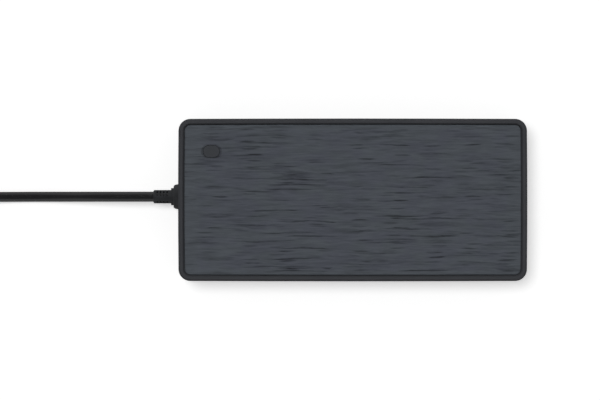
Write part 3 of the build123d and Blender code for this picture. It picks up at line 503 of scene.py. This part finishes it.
finishes["nickel_steel"] = worked_metal(
    "nickel_plated_steel", "#b9bbbe", roughness=0.26, line_mm=4.0, across_mm=0.12, line_depth_mm=0.004
)
finishes["zinc_steel"] = worked_metal(
    "zinc_plated_steel", "#9a9ca1", roughness=0.34, line_mm=0.4, across_mm=0.4, line_depth_mm=0.006
)
finishes["black_aluminium"] = worked_metal(
    "black_anodised_aluminium", "#2b2c30", roughness=0.45, line_mm=0.5, across_mm=6.0, line_depth_mm=0.01
)
finishes["can_aluminium"] = worked_metal(
    "drawn_aluminium", "#c4c6ca", roughness=0.3, line_mm=0.3, across_mm=0.3, line_depth_mm=0.004
)
finishes["gold_contact"] = worked_metal(
    "gold_plating", "#c9a45a", roughness=0.22, line_mm=1.5, across_mm=0.1, line_depth_mm=0.002
)
print("finishes so far:", len(finishes))

# %% [markdown]
# ## The board and what stands on it
#
# A circuit board is glass-fibre laminate with copper tracks under a green lacquer. The tracks show as
# slightly lighter lines that run straight along the board and step across it. Chips and chokes are moulded
# in epoxy, the pad between chip and heat sink is grey silicone, the tape under the top panel is a thin white
# film, and the status light is a body of milky resin that spreads its glow.

# %% Board laminate
BOARD_CLOUD_MM = (14, 14, 14)
TRACK_HEIGHT = 0.03 * MM


def board_laminate():
    """Green solder mask over copper tracks: the tracks are the mortar of a very wide brick pattern."""
    material, tree, place = start_material("solder_mask_laminate")
    inputs = {
        "Vector": add(tree, "ShaderNodeMapping", {"Vector": place, "Scale": cell_scale((1, 1, 1))}),
        "Scale": 1.0,
        "Mortar Size": 0.12,
        "Brick Width": 9.0,
        "Row Height": 0.7,
        "Color1": linear("#1b462f"),
        "Color2": linear("#1e4c34"),
        "Mortar": linear("#2c6648"),
    }
    tracks = add(tree, "ShaderNodeTexBrick", inputs, offset=0.37)
    shade = two_tones(tree, spots(tree, place, BOARD_CLOUD_MM), 0.35, "#707070", 0.65, "#909090")
    inputs = {0: 1.0, 6: tracks.outputs["Color"], 7: shade}
    colour = add(tree, "ShaderNodeMix", inputs, data_type="RGBA", blend_type="OVERLAY")
    bump = add(tree, "ShaderNodeBump", {"Height": tracks.outputs["Fac"], "Distance": TRACK_HEIGHT})
    inputs = {"Base Color": colour, "Roughness": 0.32, "Specular IOR Level": 0.5, "Normal": bump}
    close_material(tree, inputs)
    return material


finishes["board_laminate"] = board_laminate()
finishes["chip_epoxy"] = moulded_plastic(
    "moulded_epoxy", "#1c1d1f", "#222326", roughness=0.6, grain_mm=0.25, grain_depth_mm=0.01
)
finishes["thermal_silicone"] = rubber(
    "thermal_silicone", "#8f959d", "#a2a8b0", roughness=0.7, grain_mm=0.5, grain_depth_mm=0.02, specular=0.3
)
finishes["adhesive_tape"] = rubber(
    "adhesive_film", "#d2d2cc", "#dcdcd6", roughness=0.6, grain_mm=1.5, grain_depth_mm=0.01, specular=0.3
)
finishes["led_resin"] = moulded_plastic(
    "diffusing_resin", "#dedccd", "#ebe9db", roughness=0.3, grain_mm=0.6, grain_depth_mm=0.01, specular=0.5
)
print("finishes so far:", len(finishes))

# %% [markdown]
# ## The light pipe
#
# A short rod of clear acrylic carries the status light's glow through the front plate. Clear plastic bends
# light, so it gets full transmission and acrylic's index of refraction, and a little roughness for the ends,
# which were cut and not polished.

# %% Clear acrylic
def clear_acrylic():
    """Clear plastic with the fine scratches of a saw on its ends."""
    material, tree, place = start_material("clear_acrylic")
    scratches = grained(tree, place, grain_mm=0.4, depth_mm=0.01, detail=3)
    inputs = {"Base Color": linear("#f2f4f6"), "Roughness": 0.18, "Normal": scratches}
    close_material(tree, {**inputs, "Transmission Weight": 1.0, "IOR": 1.49})
    return material


finishes["clear_acrylic"] = clear_acrylic()
print("finishes:", len(finishes))

# %% [markdown]
# ## Finishes on the parts
#
# The record of the parts says what each one is made of, so one loop can put every finish in its place.

# %% Assign the finishes
for row in frame["record"]["subparts"]:
    part = nodes[row["node"]]
    finish = finishes[row["material_slot"]]
    if not part.data.materials:
        part.data.materials.append(finish)
    for material_slot in part.material_slots:
        material_slot.material = finish
host_cable.data.materials.append(finishes["cable_jacket"])

# %% [markdown]
# ## Pieces grown by Geometry Nodes
#
# Some forms repeat by a rule: the grooves under each rubber foot, the four feet, and the grip ribs on both
# sides of the plug. Geometry Nodes are made for that, because one tree holds the rule and named inputs hold
# the sizes. The three helpers below start such a tree, end it, and turn what it makes into a plain mesh, so
# that the piece can be exported and shaded like any other.

# %% Geometry Nodes helpers
def new_tree(name, **sizes):
    """An empty geometry tree with one input for each size. Returns the tree and its inputs' outlets."""
    tree = bpy.data.node_groups.new(name, "GeometryNodeTree")
    tree.interface.new_socket("Geometry", in_out="OUTPUT", socket_type="NodeSocketGeometry")
    for label, kind in sizes.items():
        tree.interface.new_socket(label.replace("_", " "), in_out="INPUT", socket_type="NodeSocket" + kind)
    return tree, tree.nodes.new("NodeGroupInput").outputs


def close_tree(tree, instances, finish):
    """Makes the instances real, gives them a material and hands them to the tree's output."""
    real = add(tree, "GeometryNodeRealizeInstances", {"Geometry": instances})
    coated = add(tree, "GeometryNodeSetMaterial", {"Geometry": real, "Material": finish})
    add(tree, "NodeGroupOutput", {"Geometry": coated})


def grown_piece(name, tree, **sizes):
    """Runs a tree with the given sizes, and keeps what it makes as a plain mesh object."""
    seed = bpy.data.objects.new(name + "_seed", bpy.data.meshes.new(name + "_seed"))
    bpy.context.scene.collection.objects.link(seed)
    modifier = seed.modifiers.new("growth", "NODES")
    modifier.node_group = tree
    for socket in tree.interface.items_tree:
        if socket.in_out == "INPUT":
            modifier[socket.identifier] = sizes[socket.name.replace(" ", "_")]
    grown = seed.evaluated_get(bpy.context.evaluated_depsgraph_get())
    piece = bpy.data.objects.new(name, bpy.data.meshes.new_from_object(grown))
    bpy.data.objects.remove(seed)
    bpy.context.scene.collection.objects.link(piece)
    return piece


print("growth helpers ready")

# %% [markdown]
# ## Grooved rubber feet
#
# Each foot is a rubber disc with round grooves in its sole, which let it grip a dusty desk. A cylinder whose
# end faces have many rings already has points on each crest, in each groove and halfway between, so the
# tree only has to lift the points of the sole, by a wave that rises and falls once in each groove pitch. A
# band at the outline stays free of grooves, and its two outermost rings are lifted too, as a worn edge is.
# The four corners of a flat grid then carry one foot each.

# %% The sole of a foot
def sole_rise(tree, sizes):
    """How far each point of a foot is lifted: into a groove, or up at the worn edge, and only on the sole."""
    parts = add(tree, "ShaderNodeSeparateXYZ", (add(tree, "GeometryNodeInputPosition"),))
    flat = add(tree, "ShaderNodeCombineXYZ", (parts.outputs["X"], parts.outputs["Y"]))
    away = add(tree, "ShaderNodeVectorMath", (flat,), operation="LENGTH")
    from_edge = add(tree, "ShaderNodeMath", (sizes["Radius"], away), operation="SUBTRACT")

    half_pitch = add(tree, "ShaderNodeMath", (sizes["Groove Pitch"], 2.0), operation="DIVIDE")
    wave = add(tree, "ShaderNodeMath", (away, half_pitch), operation="PINGPONG")
    wave = add(tree, "ShaderNodeMath", (wave, half_pitch), operation="DIVIDE")
    band = add(tree, "ShaderNodeMath", (sizes["Edge"], 2.0), operation="MULTIPLY")
    inside = add(tree, "ShaderNodeMath", (from_edge, band), operation="GREATER_THAN")
    groove = add(tree, "ShaderNodeMath", (wave, sizes["Groove Depth"]), operation="MULTIPLY")
    groove = add(tree, "ShaderNodeMath", (groove, inside), operation="MULTIPLY")

    worn = add(tree, "ShaderNodeMath", (sizes["Edge"], from_edge), operation="SUBTRACT")
    worn = add(tree, "ShaderNodeMath", (worn, 0.0), operation="MAXIMUM")
    rise = add(tree, "ShaderNodeMath", (groove, worn), operation="ADD")
    sole = add(tree, "ShaderNodeMath", (parts.outputs["Z"], 0.0), operation="LESS_THAN")
    return add(tree, "ShaderNodeMath", (rise, sole), operation="MULTIPLY")


print("sole ready")

# %% The feet's tree
FOOT_SIDES = 48


def grooved_feet_tree(finish):
    """Four discs at the corners of a rectangle, with round grooves in their soles."""
    tree, sizes = new_tree(
        "grooved_feet", Radius="Float", Height="Float", Span_X="Float", Span_Y="Float", Rings="Int",
        Groove_Pitch="Float", Groove_Depth="Float", Edge="Float",
    )
    inputs = {"Vertices": FOOT_SIDES, "Fill Segments": sizes["Rings"], "Radius": sizes["Radius"]}
    disc = add(tree, "GeometryNodeMeshCylinder", {**inputs, "Depth": sizes["Height"]})
    offset = add(tree, "ShaderNodeCombineXYZ", {"Z": sole_rise(tree, sizes)})
    foot = add(tree, "GeometryNodeSetPosition", {"Geometry": disc, "Offset": offset})

    inputs = {"Size X": sizes["Span X"], "Size Y": sizes["Span Y"], "Vertices X": 2, "Vertices Y": 2}
    corners = add(tree, "GeometryNodeMeshGrid", inputs)
    feet = add(tree, "GeometryNodeInstanceOnPoints", {"Points": corners, "Instance": foot})
    half_height = add(tree, "ShaderNodeMath", (sizes["Height"], 2.0), operation="DIVIDE")
    lift = add(tree, "ShaderNodeCombineXYZ", {"Z": half_height})
    standing = add(tree, "GeometryNodeTransform", {"Geometry": feet, "Translation": lift})
    close_tree(tree, standing, finish)
    return tree


feet_tree = grooved_feet_tree(finishes["foot_rubber"])
print("nodes in the feet's tree:", len(feet_tree.nodes))

# %% Grow the feet
FOOT_RADIUS = 5 * MM
feet_low, feet_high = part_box("rubber_feet")
feet = grown_piece(
    "grooved_feet",
    feet_tree,
    Radius=FOOT_RADIUS,
    Height=feet_high.z - feet_low.z,
    Span_X=feet_high.x - feet_low.x - 2 * FOOT_RADIUS,
    Span_Y=feet_high.y - feet_low.y - 2 * FOOT_RADIUS,
    Rings=20,
    Groove_Pitch=1.0 * MM,
    Groove_Depth=0.35 * MM,
    Edge=0.4 * MM,
)
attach(feet, "dock")
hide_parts("rubber_feet")
print("triangles of the feet:", sum(len(face.vertices) - 2 for face in feet.data.polygons))

# %% [markdown]
# ## Grip ribs on the plug
#
# The plug's rubbery body has five thin ribs on each narrow side, where a finger and thumb take hold. A rib is
# a round bar bent round the side, so the tree bends a straight line of points through the side's two round
# corners, gives it a round section, sets copies in a row, and turns a second row to the other side.

# %% The spine of a rib
SPINE_POINTS = 15


def rib_spine(tree, sizes):
    """A straight line of points, bent round one narrow side of the plug."""
    line = add(tree, "GeometryNodeCurvePrimitiveLine", {"Start": (-1, 0, 0), "End": (1, 0, 0)})
    line = add(tree, "GeometryNodeResampleCurve", {"Curve": line, "Count": SPINE_POINTS})
    place = add(tree, "GeometryNodeInputPosition")
    along = add(tree, "ShaderNodeSeparateXYZ", (place,)).outputs["X"]
    turn = add(tree, "ShaderNodeMath", (along, sizes["Sweep"]), operation="MULTIPLY")
    inset = add(tree, "ShaderNodeMath", (sizes["Side"], sizes["Corner"]), operation="SUBTRACT")
    out = add(tree, "ShaderNodeMath", (turn,), operation="COSINE")
    out = add(tree, "ShaderNodeMath", (sizes["Corner"], out), operation="MULTIPLY")
    out = add(tree, "ShaderNodeMath", (out, inset), operation="ADD")
    straight = add(tree, "ShaderNodeMath", (sizes["Flat"], along), operation="MULTIPLY")
    up = add(tree, "ShaderNodeMath", (turn,), operation="SINE")
    up = add(tree, "ShaderNodeMath", (sizes["Corner"], up), operation="MULTIPLY")
    up = add(tree, "ShaderNodeMath", (up, straight), operation="ADD")
    bent = add(tree, "ShaderNodeCombineXYZ", {"Y": out, "Z": up})
    return add(tree, "GeometryNodeSetPosition", {"Geometry": line, "Position": bent})


print("points on a rib's spine:", SPINE_POINTS)

# %% The ribs' tree
RIB_SIDES = 10


def grip_ribs_tree(finish):
    """Two rows of ribs, each bent round one narrow side of the plug."""
    tree, sizes = new_tree(
        "grip_ribs", Count="Int", Pitch="Float", Rib_Radius="Float", Side="Float", Corner="Float",
        Flat="Float", Sweep="Float", Middle="Vector",
    )
    section = {"Resolution": RIB_SIDES, "Radius": sizes["Rib Radius"]}
    section = add(tree, "GeometryNodeCurvePrimitiveCircle", section)
    inputs = {"Curve": rib_spine(tree, sizes), "Profile Curve": section, "Fill Caps": True}
    rib = add(tree, "GeometryNodeCurveToMesh", inputs)

    gaps = add(tree, "ShaderNodeMath", (sizes["Count"], 1.0), operation="SUBTRACT")
    first = add(tree, "ShaderNodeMath", (gaps, -0.5), operation="MULTIPLY")
    first = add(tree, "ShaderNodeMath", (first, sizes["Pitch"]), operation="MULTIPLY")
    first = add(tree, "ShaderNodeCombineXYZ", {"X": first})
    step = add(tree, "ShaderNodeCombineXYZ", {"X": sizes["Pitch"]})
    inputs = {"Count": sizes["Count"], "Start Location": first, "Offset": step}
    points = add(tree, "GeometryNodeMeshLine", inputs)
    row = add(tree, "GeometryNodeInstanceOnPoints", {"Points": points, "Instance": rib})
    other = add(tree, "GeometryNodeTransform", {"Geometry": row, "Rotation": (0, 0, math.pi)})
    both = add(tree, "GeometryNodeJoinGeometry", {"Geometry": row})
    tree.links.new(other.outputs["Geometry"], both.inputs["Geometry"])
    placed = add(tree, "GeometryNodeTransform", {"Geometry": both, "Translation": sizes["Middle"]})
    close_tree(tree, placed, finish)
    return tree


ribs_tree = grip_ribs_tree(finishes["plug_plastic"])
print("nodes in the ribs' tree:", len(ribs_tree.nodes))

# %% Grow the ribs
PLUG_BODY_LENGTH = 17 * MM
PLUG_CORNER = 2.6 * MM
plug_low, plug_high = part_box("plug_overmould")
plug_middle = (plug_low + plug_high) / 2
plug_half = (plug_high - plug_low) / 2
ribs = grown_piece(
    "plug_grip_ribs",
    ribs_tree,
    Count=5,
    Pitch=2.2 * MM,
    Rib_Radius=0.3 * MM,
    Side=plug_half.y,
    Corner=PLUG_CORNER,
    Flat=plug_half.z - PLUG_CORNER,
    Sweep=math.radians(52),
    Middle=(plug_low.x + PLUG_BODY_LENGTH / 2, plug_middle.y, plug_middle.z),
)
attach(ribs, "dock")
print("triangles of the ribs:", sum(len(face.vertices) - 2 for face in ribs.data.polygons))

# %% [markdown]
# ## Floor, backdrop and light
#
# The floor is plain and pale. To the camera, the floor and the sky are white, and the floor glows a little,
# so the box stands free on its page and keeps its soft shadow. The light is plain too. One lamp stands
# nearly overhead, a little to the rear left, and pushes the shadow to the front right. Two side lamps,
# behind and in front, only light the box: light linking leaves the floor out, so they cast no shadow of
# their own on it. All three are as wide as large softboxes, so nothing has a hard edge, and an even glow
# fills in from all sides. What is glossy mirrors a horizon that is brighter than the ceiling, which gives
# each rounded edge its line of light.

# %% Floor
FLOOR_SIDE = 6.0
FLOOR_GREY = "#c8c8c8"
FLOOR_LIFT = 0.45


def seen_directly(tree, path):
    """1 for a ray from the camera, also where it went through clear plastic, and 0 for all others."""
    rays = (path.outputs["Is Camera Ray"], path.outputs["Is Transmission Ray"])
    return add(tree, "ShaderNodeMath", rays, operation="MAXIMUM")


floor_mesh = bpy.data.meshes.new("floor")
reach = FLOOR_SIDE / 2
corners = [(-reach, -reach, 0), (reach, -reach, 0), (reach, reach, 0), (-reach, reach, 0)]
floor_mesh.from_pydata(corners, [], [(0, 1, 2, 3)])
floor = bpy.data.objects.new("floor", floor_mesh)
bpy.context.scene.collection.objects.link(floor)

paper = bpy.data.materials.new("white_paper")
paper.use_nodes = True
tree = paper.node_tree
tree.nodes.clear()
seen = seen_directly(tree, add(tree, "ShaderNodeLightPath"))
tone = add(tree, "ShaderNodeMix", {0: seen, 6: linear(FLOOR_GREY), 7: WHITE}, data_type="RGBA")
sheet = add(tree, "ShaderNodeBsdfDiffuse", {"Color": tone})
shine = add(tree, "ShaderNodeMath", (seen, FLOOR_LIFT), operation="MULTIPLY")
lift = add(tree, "ShaderNodeEmission", {"Color": WHITE, "Strength": shine})
both = add(tree, "ShaderNodeAddShader", (sheet, lift))
add(tree, "ShaderNodeOutputMaterial", {"Surface": both})
floor_mesh.materials.append(paper)
print("floor ready")

# %% Sky
SKY_GLOW = (0.2, 0.2, 0.2, 1)
CEILING = 0.06
HORIZON = 0.42
HORIZON_TOP = 0.3
CEILING_START = 0.75
world = bpy.data.worlds.new("studio")
bpy.context.scene.world = world
world.use_nodes = True
tree = world.node_tree
tree.nodes.clear()
path = add(tree, "ShaderNodeLightPath")
direction = add(tree, "ShaderNodeTexCoord").outputs["Generated"]
upward = add(tree, "ShaderNodeSeparateXYZ", (direction,)).outputs["Z"]
height = add(tree, "ShaderNodeMath", (upward,), operation="ABSOLUTE")
mirrored = add(tree, "ShaderNodeMapRange", (height, HORIZON_TOP, CEILING_START, HORIZON, CEILING), **SMOOTH)
glossy = path.outputs["Is Glossy Ray"]
level = add(tree, "ShaderNodeMix", {0: glossy, 6: SKY_GLOW, 7: mirrored}, data_type="RGBA")
level = add(tree, "ShaderNodeMix", {0: seen_directly(tree, path), 6: level, 7: WHITE}, data_type="RGBA")
background = add(tree, "ShaderNodeBackground", {"Color": level, "Strength": 1.0})
add(tree, "ShaderNodeOutputWorld", {"Surface": background})
print("sky ready")

# %% Lamps
TOP_LIGHT = 0.4
REAR_LIGHT = 0.38
FRONT_LIGHT = 0.06


def softbox(name, strength, width_degrees, tilt_degrees, from_degrees):
    """A wide far lamp. Its strength is what it lays on a level floor, from_degrees is its bearing."""
    data = bpy.data.lights.new(name, "SUN")
    data.angle = math.radians(width_degrees)
    tilt = math.radians(tilt_degrees)
    bearing = math.radians(from_degrees)
    data.energy = strength * math.pi / math.cos(tilt)
    toward = Vector((math.cos(bearing) * math.sin(tilt), math.sin(bearing) * math.sin(tilt), math.cos(tilt)))
    lamp = bpy.data.objects.new(name, data)
    lamp.rotation_mode = "QUATERNION"
    lamp.rotation_quaternion = toward.to_track_quat("Z", "Y")
    lamp.location = toward
    lamp.visible_glossy = False
    bpy.context.scene.collection.objects.link(lamp)
    return lamp


softbox("top_softbox", TOP_LIGHT, width_degrees=20, tilt_degrees=12.5, from_degrees=146)
side_lamps = [
    softbox("rear_softbox", REAR_LIGHT, width_degrees=24, tilt_degrees=36, from_degrees=95),
    softbox("front_softbox", FRONT_LIGHT, width_degrees=40, tilt_degrees=80, from_degrees=290),
]
lit = bpy.data.collections.new("all_but_the_floor")
lit.objects.link(floor)
lit.collection_objects[0].light_linking.link_state = "EXCLUDE"
for lamp in side_lamps:
    lamp.light_linking.receiver_collection = lit
bpy.context.scene.view_settings.view_transform = "Standard"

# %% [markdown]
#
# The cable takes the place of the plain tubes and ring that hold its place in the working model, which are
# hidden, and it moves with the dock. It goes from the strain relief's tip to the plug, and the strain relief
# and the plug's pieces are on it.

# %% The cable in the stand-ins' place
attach(host_cable, "dock")
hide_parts("cable_run", "cable_coil", "cable_tail")
print("cable declared, turns in its coil:", COIL_TURNS)
